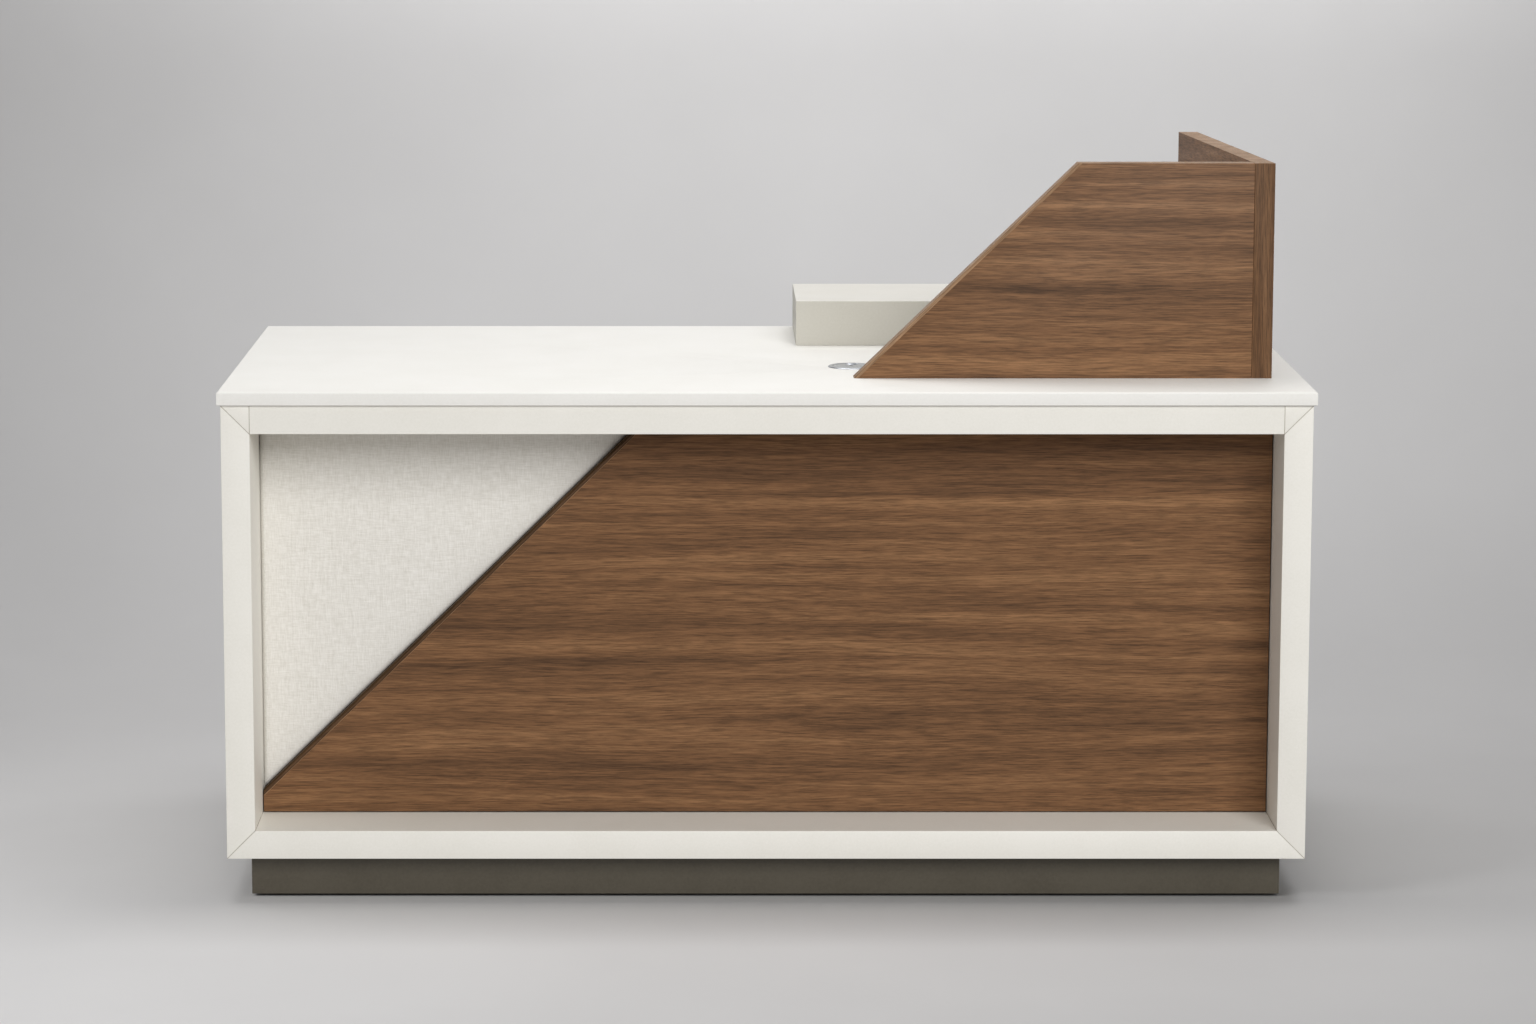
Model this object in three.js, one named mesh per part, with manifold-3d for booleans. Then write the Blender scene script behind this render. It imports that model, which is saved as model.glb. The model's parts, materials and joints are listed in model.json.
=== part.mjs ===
// Reception desk: a mitred picture-frame carcass with a walnut front cut on the diagonal,
// a walnut privacy screen, a low riser shelf and a cable grommet on the worktop.
// Millimetres, +Z up. Visitors stand at -Y and +X is on their right.
// The origin is on the floor, under the middle of the worktop.

import * as THREE from 'three';
import { mergeVertices } from 'three/addons/utils/BufferGeometryUtils.js';
import Module from 'manifold-3d';

const wasm = await Module();
wasm.setup();

// Driving dimensions: worktop and carcass
const deskWidth = 1600;
const deskDepth = 800;
const worktopHeight = 760;
const worktopThickness = 20;
const worktopOverhang = 5;
const worktopArris = 1.5;
const frameThickness = 42;
const frameBottom = 65;
const recessDepth = 120;
const footRailWidth = 120;

// Driving dimensions: the panels in the recess
const walnutThickness = 28;
const walnutReveal = 1.5;
const fabricThickness = 9;
const fabricGap = 0.5;
const modestyThickness = 18;
const diagonalTopX = -175;
const diagonalFootHeight = 25;
const frontLippingThickness = 6;
const frontLippingChamfer = 2.5;

// Driving dimensions: privacy screen
const screenHeight = 320;
const screenThickness = 30;
const screenSetback = 155;
const screenFootX = 131;
const screenTopX = 461;
const screenRightX = 752;
const returnBackY = 350;
const returnInset = 50;
const screenLippingThickness = 4;
const screenLippingChamfer = 3;

// Driving dimensions: riser shelf
const riserLength = 600;
const riserDepth = 245;
const riserHeight = 70;
const riserLeftX = 54;
const riserRearGap = 8;
const riserPanel = 18;

// Driving dimensions: cable grommet
const grommetX = 132;
const grommetY = -108;
const flangeRadius = 35;
const flangeThickness = 2.5;
const flangeChamfer = 1.2;
const flangeRebate = 1;
const sleeveRadius = 29;
const sleeveWall = 2.5;
const sleeveDrop = 4;
const capRadius = 27.5;
const capThickness = 3;
const capLedgeWidth = 2;
const slotRadius = 9;
const slotCentre = 17;
const shutterRadius = 25;
const shutterThickness = 1.6;
const shutterSpanDegrees = 84;
const shutterHubRadius = 7;
const shutterPinRadius = 2.9;
const shutterOpenDegrees = 120;

// Driving dimensions: plinth and levelling feet
const plinthHalfWidth = 762;
const plinthSetback = 38;
const plinthBottom = 4;
const plinthBoard = 18;
const plinthBayWidth = 44;
const plinthFrontBay = 82;
const footBlockLength = 60;
const footBlockHeight = 40;
const footPadRadius = 18;
const footPadHeight = 5;
const footConeTop = 9;
const footConeRadius = 9;
const footStemRadius = 5;
const footStemTop = 60;
const midFootX = 250;

// Driving dimensions: steelwork under and on the worktop
const angleThickness = 3;
const angleBendRadius = 3;
const angleWidth = 40;
const angleLeg = 40;
const screenAngleLeg = 60;
const angleHoleRadius = 2.6;
const worktopAngleYs = [-120, 230];
const screenAngleXs = [300, 480, 660];
const returnAngleYs = [-80, 70];
const stiffenerLength = 1400;
const stiffenerLeg = 40;
const stiffenerY = 335;
const trayLength = 900;
const trayDepth = 150;
const trayBackHeight = 86;
const trayLipHeight = 36;
const trayGapToWorktop = 14;
const traySheet = 1.5;

// Clearances between pieces that move or are cut to fit
const fitGap = 0.3;
const shutterGap = 0.4;
const roundSegments = 48;
const footSegments = 16;

// Planes worked out from the driving dimensions
const halfWidth = deskWidth / 2;
const worktopUnderside = worktopHeight - worktopThickness;
const carcassHalf = halfWidth - worktopOverhang;
const carcassFront = -deskDepth / 2 + worktopOverhang;
const carcassBack = deskDepth / 2 - worktopOverhang;
const innerHalf = carcassHalf - frameThickness;
const recessFloor = frameBottom + frameThickness;
const recessCeiling = worktopUnderside - frameThickness;
const walnutFace = carcassFront + recessDepth;
const walnutBack = walnutFace + walnutThickness;
const modestyBack = walnutBack + modestyThickness;
const screenFace = -deskDepth / 2 + screenSetback;
const screenBack = screenFace + screenThickness;
const screenTop = worktopHeight + screenHeight;
const flangeSeat = worktopHeight - flangeRebate;

// Finishes
const finish = (color, roughness, metalness = 0) =>
  new THREE.MeshStandardMaterial({ color, roughness, metalness });
const whiteWorktop = finish('#f3f1ec', 0.35);
const whiteFrame = finish('#e9e6de', 0.45);
const walnut = finish('#7a5a42', 0.5);
const paleWalnut = finish('#9c7d5f', 0.5);
const darkLipping = finish('#3a2b1d', 0.5);
const linen = finish('#cdc9bf', 0.95);
const taupePlinth = finish('#5a554a', 0.5);
const riserGrey = finish('#d8d5cb', 0.45);
const rawBoard = finish('#b39a77', 0.8);
const blackSteel = finish('#3b3c3e', 0.5, 0.8);
const satinSteel = finish('#b9bcc0', 0.3, 0.9);
const darkPlastic = finish('#26272a', 0.55);

const desk = new THREE.Group();

function add(name, geometry, material) {
  const mesh = new THREE.Mesh(geometry, material);
  mesh.name = name;
  desk.add(mesh);
  return mesh;
}

// A plain rectangular board between two corners
function addBoard(name, material, low, high) {
  const size = high.map((value, axis) => value - low[axis]);
  const board = add(name, new THREE.BoxGeometry(...size), material);
  board.position.set(...low.map((value, axis) => value + size[axis] / 2));
  return board;
}

function outlineOf(points) {
  return new THREE.Shape(points.map(([u, v]) => new THREE.Vector2(u, v)));
}

// An outline drawn in X and Z, as seen by a visitor, and given depth from yFront to yBack
function uprightSlab(points, yFront, yBack) {
  const options = { depth: yBack - yFront, bevelEnabled: false };
  const slab = new THREE.ExtrudeGeometry(outlineOf(points), options);
  return slab.rotateX(Math.PI / 2).translate(0, yBack, 0);
}

// An outline drawn in plan and given height from zBottom to zTop
function planSlab(shape, zBottom, zTop, curveSegments = roundSegments) {
  const options = { depth: zTop - zBottom, bevelEnabled: false, curveSegments };
  return new THREE.ExtrudeGeometry(shape, options).translate(0, 0, zBottom);
}

// A section drawn in Y and Z and run along X, centred on x = 0
function runAlongX(shape, length) {
  const run = new THREE.ExtrudeGeometry(shape, { depth: length, bevelEnabled: false });
  const turn = new THREE.Matrix4().makeBasis(
    new THREE.Vector3(0, 1, 0),
    new THREE.Vector3(0, 0, 1),
    new THREE.Vector3(1, 0, 0),
  );
  return run.applyMatrix4(turn).translate(-length / 2, 0, 0);
}

// A closed body through rings of the same number of corners, with flat convex ends.
// Seen along the line from the first ring to the last, each ring turns clockwise.
function loft(rings) {
  const count = rings[0].length;
  const corner = (ring, k) => rings[ring][k % count];
  const triangles = [];
  for (let ring = 0; ring + 1 < rings.length; ring += 1) {
    for (let k = 0; k < count; k += 1) {
      const [a, b] = [corner(ring, k), corner(ring, k + 1)];
      const [c, d] = [corner(ring + 1, k + 1), corner(ring + 1, k)];
      triangles.push(a, b, c, a, c, d);
    }
  }
  const last = rings.length - 1;
  for (let k = 1; k + 1 < count; k += 1) {
    triangles.push(corner(0, 0), corner(0, k + 1), corner(0, k));
    triangles.push(corner(last, 0), corner(last, k), corner(last, k + 1));
  }
  const geometry = new THREE.BufferGeometry();
  geometry.setAttribute('position', new THREE.Float32BufferAttribute(triangles.flat(), 3));
  geometry.computeVertexNormals();
  return geometry;
}

// Joining and cutting of closed bodies
function toSolid(geometry) {
  const bare = geometry.clone();
  bare.deleteAttribute('normal');
  bare.deleteAttribute('uv');
  const merged = mergeVertices(bare);
  return new wasm.Manifold(new wasm.Mesh({
    numProp: 3,
    vertProperties: new Float32Array(merged.attributes.position.array),
    triVerts: new Uint32Array(merged.index.array),
  }));
}

function fromSolid(solid) {
  const mesh = solid.getMesh();
  const geometry = new THREE.BufferGeometry();
  geometry.setAttribute('position', new THREE.BufferAttribute(mesh.vertProperties, 3));
  geometry.setIndex(new THREE.BufferAttribute(mesh.triVerts, 1));
  geometry.computeVertexNormals();
  return geometry;
}

// Worktop: a slab with eased edges and a stepped hole, whose rebate takes the grommet's flange
function makeWorktop() {
  const outline = outlineOf([
    [-halfWidth, -deskDepth / 2],
    [halfWidth, -deskDepth / 2],
    [halfWidth, deskDepth / 2],
    [-halfWidth, deskDepth / 2],
  ]);
  const hole = new THREE.Path();
  hole.absarc(grommetX, grommetY, sleeveRadius + fitGap, 0, 2 * Math.PI);
  outline.holes.push(hole);
  const slab = new THREE.ExtrudeGeometry(outline, {
    depth: worktopThickness - 2 * worktopArris,
    bevelThickness: worktopArris,
    bevelSize: worktopArris,
    bevelOffset: -worktopArris,
    bevelSegments: 1,
    curveSegments: roundSegments / 2,
  });
  slab.translate(0, 0, worktopUnderside + worktopArris);
  const rebateRadius = flangeRadius + fitGap;
  const rebate = new THREE.CylinderGeometry(rebateRadius, rebateRadius, 2 * flangeRebate, roundSegments);
  rebate.rotateX(Math.PI / 2).translate(grommetX, grommetY, worktopHeight);
  add('worktop', fromSolid(toSolid(slab).subtract(toSolid(rebate))), whiteWorktop);
}

// Frame: end panels and bottom panel meet on mitres. The top rail butts against the upright
// face of a three-sided mitre block that fills each top corner.
function makeFrame() {
  for (const [side, sign] of [['left', -1], ['right', 1]]) {
    const outer = sign * carcassHalf;
    const inner = sign * innerHalf;
    const endPanel = [
      [outer, frameBottom],
      [inner, recessFloor],
      [inner, recessCeiling],
      [outer, worktopUnderside],
    ];
    const mitreBlock = [
      [inner, recessCeiling],
      [outer, worktopUnderside],
      [inner, worktopUnderside],
    ];
    const footRailInner = sign * (carcassHalf - footRailWidth);
    const footRail = [
      [outer, frameBottom],
      [footRailInner, frameBottom],
      [footRailInner, recessFloor],
      [inner, recessFloor],
    ];
    add(`${side}_end_panel`, uprightSlab(endPanel, carcassFront, carcassBack), whiteFrame);
    add(`${side}_mitre_block`, uprightSlab(mitreBlock, carcassFront, carcassBack), whiteFrame);
    add(`${side}_foot_rail`, uprightSlab(footRail, modestyBack, carcassBack), whiteFrame);
  }
  const bottomPanel = [
    [-carcassHalf, frameBottom],
    [carcassHalf, frameBottom],
    [innerHalf, recessFloor],
    [-innerHalf, recessFloor],
  ];
  add('bottom_panel', uprightSlab(bottomPanel, carcassFront, modestyBack), whiteFrame);
  addBoard(
    'top_rail',
    whiteFrame,
    [-innerHalf, carcassFront, recessCeiling],
    [innerHalf, modestyBack, worktopUnderside],
  );
}

// Recess: the modesty panel carries the walnut panel, its lipping and the fabric triangle
function makeRecess() {
  addBoard(
    'modesty_panel',
    whiteFrame,
    [-innerHalf, walnutBack, recessFloor],
    [innerHalf, modestyBack, recessCeiling],
  );
  const foot = recessFloor + diagonalFootHeight;
  const slope = (recessCeiling - foot) / (diagonalTopX + innerHalf);
  const risePerOffset = Math.hypot(1, slope);
  const left = -innerHalf + walnutReveal;
  const right = innerHalf - walnutReveal;
  const bottom = recessFloor + walnutReveal;
  const top = recessCeiling - walnutReveal;
  // The diagonal and lines that run beside it, offset towards the upper left
  const onLeft = (offset) => [left, foot + slope * walnutReveal + offset * risePerOffset];
  const onTop = (offset) => {
    const z = top - offset * risePerOffset;
    return [-innerHalf + (z - foot) / slope, top];
  };
  const walnutOutline = [[left, bottom], [right, bottom], [right, top], onTop(0), onLeft(0)];
  add('walnut_front_panel', uprightSlab(walnutOutline, walnutFace, walnutBack), walnut);

  const lippingRing = (y, offset) =>
    [onLeft(0), onLeft(offset), onTop(offset), onTop(0)].map(([x, z]) => [x, y, z]);
  const lipping = loft([
    lippingRing(walnutFace, frontLippingThickness - frontLippingChamfer),
    lippingRing(walnutFace + frontLippingChamfer, frontLippingThickness),
    lippingRing(walnutBack, frontLippingThickness),
  ]);
  add('front_diagonal_lipping', lipping, darkLipping);

  const fabricOffset = frontLippingThickness + fabricGap;
  const fabricOutline = [onLeft(fabricOffset), onTop(fabricOffset), [left, top]];
  add('fabric_panel', uprightSlab(fabricOutline, walnutBack - fabricThickness, walnutBack), linen);
}

// Privacy screen: the front panel butts against a return that leans inwards towards the back
function makeScreen() {
  const returnInnerX = screenRightX - screenThickness;
  const lean = returnInset / (returnBackY - screenFace);
  const slope = screenHeight / (screenTopX - screenFootX);
  const runPerOffset = Math.hypot(1, slope) / slope;

  const plan = outlineOf([
    [returnInnerX, screenFace],
    [screenRightX, screenFace],
    [screenRightX - returnInset, returnBackY],
    [returnInnerX - returnInset, returnBackY],
  ]);
  add('screen_return', planSlab(plan, worktopHeight, screenTop), walnut);

  const panelRing = (y) => {
    const footX = screenFootX + screenLippingThickness * runPerOffset;
    const topX = screenTopX + screenLippingThickness * runPerOffset;
    const rightX = returnInnerX - fitGap - lean * (y - screenFace);
    return [
      [footX, y, worktopHeight],
      [topX, y, screenTop],
      [rightX, y, screenTop],
      [rightX, y, worktopHeight],
    ];
  };
  add('screen_front_panel', loft([panelRing(screenFace), panelRing(screenBack)]), walnut);

  const lippingRing = (y, chamfer) => {
    const outer = chamfer * runPerOffset;
    const inner = screenLippingThickness * runPerOffset;
    return [
      [screenFootX + inner, y, worktopHeight],
      [screenFootX + outer, y, worktopHeight],
      [screenTopX + outer, y, screenTop],
      [screenTopX + inner, y, screenTop],
    ];
  };
  const lipping = loft([
    lippingRing(screenFace, screenLippingChamfer),
    lippingRing(screenFace + screenLippingChamfer, 0),
    lippingRing(screenBack, 0),
  ]);
  add('screen_diagonal_lipping', lipping, paleWalnut);
  return Math.atan(lean);
}

// Riser shelf: mitred top, front and ends, open to the person at the desk, with one divider
function makeRiser() {
  const [x0, x1] = [riserLeftX, riserLeftX + riserLength];
  const y1 = deskDepth / 2 - riserRearGap;
  const y0 = y1 - riserDepth;
  const [z0, z1] = [worktopHeight, worktopHeight + riserHeight];
  const [xa, xb, ya, zb] = [x0 + riserPanel, x1 - riserPanel, y0 + riserPanel, z1 - riserPanel];
  const topPanel = loft([
    [[xa, ya, zb], [xb, ya, zb], [xb, y1, zb], [xa, y1, zb]],
    [[x0, y0, z1], [x1, y0, z1], [x1, y1, z1], [x0, y1, z1]],
  ]);
  const frontPanel = loft([
    [[x0, y0, z0], [x0, y0, z1], [x1, y0, z1], [x1, y0, z0]],
    [[xa, ya, z0], [xa, ya, zb], [xb, ya, zb], [xb, ya, z0]],
  ]);
  const leftEnd = loft([
    [[x0, y0, z0], [x0, y1, z0], [x0, y1, z1], [x0, y0, z1]],
    [[xa, ya, z0], [xa, y1, z0], [xa, y1, zb], [xa, ya, zb]],
  ]);
  const rightEnd = loft([
    [[xb, ya, z0], [xb, y1, z0], [xb, y1, zb], [xb, ya, zb]],
    [[x1, y0, z0], [x1, y1, z0], [x1, y1, z1], [x1, y0, z1]],
  ]);
  add('riser_top', topPanel, riserGrey);
  add('riser_front', frontPanel, riserGrey);
  add('riser_left_end', leftEnd, riserGrey);
  add('riser_right_end', rightEnd, riserGrey);
  const middle = (x0 + x1) / 2;
  addBoard(
    'riser_divider',
    riserGrey,
    [middle - riserPanel / 2, ya, z0],
    [middle + riserPanel / 2, y1, zb],
  );
}

// Cable grommet: a flanged liner, a lift-out cap with a cable slot and a shutter under the cap
function makeGrommet() {
  const flangeTop = flangeSeat + flangeThickness;
  const capTop = flangeTop - fitGap;
  const capBottom = capTop - capThickness;
  const ledgeTop = capBottom;
  const ledgeRadius = capRadius - capLedgeWidth;
  const sleeveBore = sleeveRadius - sleeveWall;
  const seatRadius = capRadius + fitGap;
  const sleeveFoot = worktopUnderside - sleeveDrop;
  const profile = [
    [seatRadius, flangeTop],
    [seatRadius, ledgeTop],
    [ledgeRadius, ledgeTop],
    [ledgeRadius, ledgeTop - capLedgeWidth],
    [sleeveBore, ledgeTop - capLedgeWidth - (sleeveBore - ledgeRadius)],
    [sleeveBore, sleeveFoot],
    [sleeveRadius, sleeveFoot],
    [sleeveRadius, flangeSeat],
    [flangeRadius, flangeSeat],
    [flangeRadius, flangeTop - flangeChamfer],
    [flangeRadius - flangeChamfer, flangeTop],
    [seatRadius, flangeTop],
  ].map(([radius, z]) => new THREE.Vector2(radius, z));
  const liner = new THREE.LatheGeometry(profile, roundSegments).rotateX(Math.PI / 2);
  add('grommet_liner', liner, satinSteel).position.set(grommetX, grommetY, 0);

  const slotMouth = Math.asin(slotRadius / capRadius);
  const capOutline = new THREE.Shape();
  capOutline.absarc(0, 0, capRadius, Math.PI / 2 + slotMouth, 2.5 * Math.PI - slotMouth);
  capOutline.absarc(0, slotCentre, slotRadius, 0, -Math.PI, true);
  const pinHole = new THREE.Path();
  pinHole.absarc(0, 0, shutterPinRadius + fitGap, 0, 2 * Math.PI);
  capOutline.holes.push(pinHole);
  const cap = planSlab(capOutline, capBottom, capTop, roundSegments / 2);
  add('grommet_cap', cap, satinSteel).position.set(grommetX, grommetY, 0);

  const shutterTop = capBottom - shutterGap;
  const shutterBottom = shutterTop - shutterThickness;
  const halfSpan = THREE.MathUtils.degToRad(shutterSpanDegrees / 2);
  const openTurn = Math.PI / 2 - THREE.MathUtils.degToRad(shutterOpenDegrees);
  const blade = new THREE.Shape();
  blade.absarc(0, 0, shutterRadius, openTurn - halfSpan, openTurn + halfSpan);
  blade.absarc(0, 0, shutterHubRadius, openTurn + halfSpan, openTurn - halfSpan + 2 * Math.PI);
  const pin = new THREE.Shape();
  pin.absarc(0, 0, shutterPinRadius, 0, 2 * Math.PI);
  const bladeSolid = toSolid(planSlab(blade, shutterBottom, shutterTop, footSegments));
  const pinSolid = toSolid(planSlab(pin, shutterBottom, capTop, footSegments));
  const shutter = add('grommet_shutter', fromSolid(bladeSolid.add(pinSolid)), darkPlastic);
  shutter.position.set(grommetX, grommetY, 0);
}

// Plinth: front board, and a narrow bay of boards under each foot rail
function makePlinth() {
  const front = -deskDepth / 2 + plinthSetback;
  const frontBayStart = front + plinthBoard;
  const frontBayEnd = frontBayStart + plinthFrontBay;
  const rear = deskDepth / 2 - plinthSetback;
  const outerInside = plinthHalfWidth - plinthBoard;
  const bayInside = outerInside - plinthBayWidth;
  const innerInside = bayInside - plinthBoard;
  const addUpright = (name, x0, x1, y0, y1) => addBoard(
    name,
    taupePlinth,
    [Math.min(x0, x1), y0, plinthBottom],
    [Math.max(x0, x1), y1, frameBottom],
  );
  addUpright('plinth_front', -plinthHalfWidth, plinthHalfWidth, front, frontBayStart);
  addUpright('plinth_inner_front', -innerInside, innerInside, frontBayEnd, frontBayEnd + plinthBoard);
  for (const [side, sign] of [['left', -1], ['right', 1]]) {
    const [outer, inside] = [sign * plinthHalfWidth, sign * outerInside];
    const [bay, inner] = [sign * bayInside, sign * innerInside];
    addUpright(`plinth_${side}`, outer, inside, frontBayStart, rear);
    addUpright(`plinth_inner_${side}`, bay, inner, frontBayEnd, rear);
    addUpright(`plinth_rear_${side}`, inside, bay, rear - plinthBoard, rear);
  }
  const bayMiddle = (outerInside + bayInside) / 2;
  const frontFootY = (frontBayStart + frontBayEnd) / 2;
  const rearFootY = rear - plinthBoard - footBlockLength / 2;
  makeFoot('front_left', -bayMiddle, frontFootY, plinthBayWidth, plinthFrontBay);
  makeFoot('front_mid_left', -midFootX, frontFootY, footBlockLength, plinthFrontBay);
  makeFoot('front_mid_right', midFootX, frontFootY, footBlockLength, plinthFrontBay);
  makeFoot('front_right', bayMiddle, frontFootY, plinthBayWidth, plinthFrontBay);
  makeFoot('rear_left', -bayMiddle, rearFootY, plinthBayWidth, footBlockLength);
  makeFoot('rear_right', bayMiddle, rearFootY, plinthBayWidth, footBlockLength);
}

// A block between the plinth boards, and the levelling foot that screws up into it
function makeFoot(place, x, y, blockX, blockY) {
  const block = outlineOf([
    [-blockX / 2, -blockY / 2],
    [blockX / 2, -blockY / 2],
    [blockX / 2, blockY / 2],
    [-blockX / 2, blockY / 2],
  ]);
  const hole = new THREE.Path();
  hole.absarc(0, 0, footStemRadius + fitGap, 0, 2 * Math.PI);
  block.holes.push(hole);
  const blockGeometry = planSlab(block, frameBottom - footBlockHeight, frameBottom, footSegments);
  add(`foot_block_${place}`, blockGeometry, rawBoard).position.set(x, y, 0);

  const padEase = 1.5;
  const profile = [
    [0, 0],
    [footPadRadius - padEase, 0],
    [footPadRadius, padEase],
    [footPadRadius, footPadHeight],
    [footConeRadius, footConeTop],
    [footStemRadius, footConeTop],
    [footStemRadius, footStemTop],
    [0, footStemTop],
  ].map(([radius, z]) => new THREE.Vector2(radius, z));
  const foot = new THREE.LatheGeometry(profile, footSegments).rotateX(Math.PI / 2);
  add(`levelling_foot_${place}`, foot, darkPlastic).position.set(x, y, 0);
}

// A folded steel angle with two holes in each leg. One leg lies on z = 0 and runs to +Y,
// the other stands on y = 0 and runs up.
function foldedAngle(uprightLeg, flatLeg) {
  const outerBend = angleBendRadius + angleThickness;
  const section = new THREE.Shape();
  section.moveTo(flatLeg, 0);
  section.lineTo(flatLeg, angleThickness);
  section.absarc(outerBend, outerBend, angleBendRadius, -Math.PI / 2, -Math.PI, true);
  section.lineTo(angleThickness, uprightLeg);
  section.lineTo(0, uprightLeg);
  section.absarc(outerBend, outerBend, outerBend, Math.PI, 1.5 * Math.PI);
  let angle = toSolid(runAlongX(section, angleWidth));
  const drill = new THREE.CylinderGeometry(angleHoleRadius, angleHoleRadius, 4 * angleThickness, 12);
  const holeInset = angleWidth / 4;
  for (const x of [-holeInset, holeInset]) {
    const upright = drill.clone().translate(x, 0, uprightLeg - holeInset);
    const flat = drill.clone().rotateX(Math.PI / 2).translate(x, flatLeg - holeInset, 0);
    angle = angle.subtract(toSolid(upright)).subtract(toSolid(flat));
  }
  return fromSolid(angle);
}

// Steel angles that hold the worktop to the end panels and the screen to the worktop
function makeBrackets(returnLean) {
  for (const [side, sign] of [['left', -1], ['right', 1]]) {
    worktopAngleYs.forEach((y, index) => {
      const place = ['front', 'rear'][index];
      const bracket = add(`worktop_bracket_${side}_${place}`, foldedAngle(angleLeg, angleLeg), blackSteel);
      bracket.position.set(sign * innerHalf, y, worktopUnderside);
      bracket.rotation.set(Math.PI, 0, sign * -Math.PI / 2, 'ZXY');
    });
  }
  screenAngleXs.forEach((x, index) => {
    const place = ['left', 'middle', 'right'][index];
    const bracket = add(`screen_bracket_${place}`, foldedAngle(screenAngleLeg, angleLeg), blackSteel);
    bracket.position.set(x, screenBack, worktopHeight);
  });
  returnAngleYs.forEach((y, index) => {
    const place = ['front', 'rear'][index];
    const bracket = add(`return_bracket_${place}`, foldedAngle(screenAngleLeg, angleLeg), blackSteel);
    const inner = screenRightX - screenThickness - Math.tan(returnLean) * (y - screenFace);
    bracket.position.set(inner - fitGap, y, worktopHeight);
    bracket.rotation.z = Math.PI / 2 + returnLean;
  });
}

// Steel stiffener under the worktop's rear edge, and the cable tray on the modesty panel
function makeSteelwork() {
  const stiffener = new THREE.Shape();
  stiffener.moveTo(0, 0);
  stiffener.lineTo(stiffenerLeg, 0);
  stiffener.lineTo(stiffenerLeg, -stiffenerLeg);
  stiffener.lineTo(stiffenerLeg - angleThickness, -stiffenerLeg);
  stiffener.lineTo(stiffenerLeg - angleThickness, -angleThickness);
  stiffener.lineTo(0, -angleThickness);
  add('rear_stiffener', runAlongX(stiffener, stiffenerLength), blackSteel)
    .position.set(0, stiffenerY, worktopUnderside);

  const floor = -trayBackHeight;
  const tray = outlineOf([
    [0, 0],
    [0, floor],
    [trayDepth, floor],
    [trayDepth, floor + trayLipHeight],
    [trayDepth - traySheet, floor + trayLipHeight],
    [trayDepth - traySheet, floor + traySheet],
    [traySheet, floor + traySheet],
    [traySheet, 0],
  ]);
  add('cable_tray', runAlongX(tray, trayLength), blackSteel)
    .position.set(0, modestyBack, worktopUnderside - trayGapToWorktop);
}

makeWorktop();
makeFrame();
makeRecess();
const returnLean = makeScreen();
makeRiser();
makeGrommet();
makePlinth();
makeBrackets(returnLean);
makeSteelwork();

export default desk;
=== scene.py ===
# %% [markdown]
# # A reception desk, dressed in Blender
# The desk's solids come ready from CAD, at their real size. This lesson gives each board its
# eased edges, each surface its real finish, and the whole desk a soft studio light.
# Lengths are in metres, +Z is up, visitors stand at -Y and +X is on their right.

# %% Load the frame
import json
import math

import bmesh
import bpy
from mathutils import Matrix, Vector


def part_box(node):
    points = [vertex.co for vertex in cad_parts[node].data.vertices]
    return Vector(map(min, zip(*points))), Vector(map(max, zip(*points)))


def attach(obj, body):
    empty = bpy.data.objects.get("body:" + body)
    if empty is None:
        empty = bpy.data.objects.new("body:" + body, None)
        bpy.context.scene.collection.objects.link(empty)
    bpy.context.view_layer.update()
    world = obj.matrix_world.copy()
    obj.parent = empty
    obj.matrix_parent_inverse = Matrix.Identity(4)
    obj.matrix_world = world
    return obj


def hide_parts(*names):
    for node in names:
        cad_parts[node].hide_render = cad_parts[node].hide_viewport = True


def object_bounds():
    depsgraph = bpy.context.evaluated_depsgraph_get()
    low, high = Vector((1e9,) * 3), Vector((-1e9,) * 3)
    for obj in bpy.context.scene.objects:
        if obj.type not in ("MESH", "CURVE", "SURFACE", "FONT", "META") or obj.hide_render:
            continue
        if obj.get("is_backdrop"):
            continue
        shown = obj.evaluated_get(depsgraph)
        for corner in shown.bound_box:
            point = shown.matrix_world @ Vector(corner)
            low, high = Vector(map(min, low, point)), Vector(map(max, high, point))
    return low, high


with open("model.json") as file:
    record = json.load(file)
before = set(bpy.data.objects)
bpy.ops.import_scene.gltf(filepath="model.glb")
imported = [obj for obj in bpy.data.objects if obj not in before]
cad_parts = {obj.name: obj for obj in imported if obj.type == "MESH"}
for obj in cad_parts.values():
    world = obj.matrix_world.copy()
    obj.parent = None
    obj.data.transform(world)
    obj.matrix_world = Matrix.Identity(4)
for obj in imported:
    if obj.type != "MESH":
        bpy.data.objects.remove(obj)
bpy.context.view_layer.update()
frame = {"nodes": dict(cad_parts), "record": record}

MM = 0.001
nodes = frame["nodes"]
bodies = frame["record"]["behaviour"]["bodies"]
slot_of = {row["node"]: row["material_slot"] for row in frame["record"]["subparts"]}
body_of = {name: body for body, names in bodies.items() for name in names}

# %% [markdown]
# ## The camera
# The photograph was taken from a few metres in front, a little above the desk, with a long lens,
# so the desk's sides hardly converge. Place, tilt and lens were found by fitting the desk's
# corners. A small lens shift puts the desk where it stands in the photograph's frame.

# %% Camera
SENSOR_WIDTH_MM = 36
LENS_MM = 105.8
CAMERA_PLACE = (-0.108, -6.893, 1.646)
CAMERA_DOWN_DEGREES = 8.507
FRAME_SHIFT = (0.049, -0.04)

camera_data = bpy.data.cameras.new("studio_camera")
camera_data.sensor_width = SENSOR_WIDTH_MM
camera_data.lens = LENS_MM
camera_data.shift_x, camera_data.shift_y = FRAME_SHIFT
camera = bpy.data.objects.new("studio_camera", camera_data)
camera.location = CAMERA_PLACE
camera.rotation_euler = (math.radians(90 - CAMERA_DOWN_DEGREES), 0, 0)
bpy.context.collection.objects.link(camera)
bpy.context.scene.camera = camera
bpy.context.scene.view_settings.view_transform = "Standard"
print("camera at", CAMERA_PLACE, "with a", LENS_MM, "mm lens")

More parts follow.
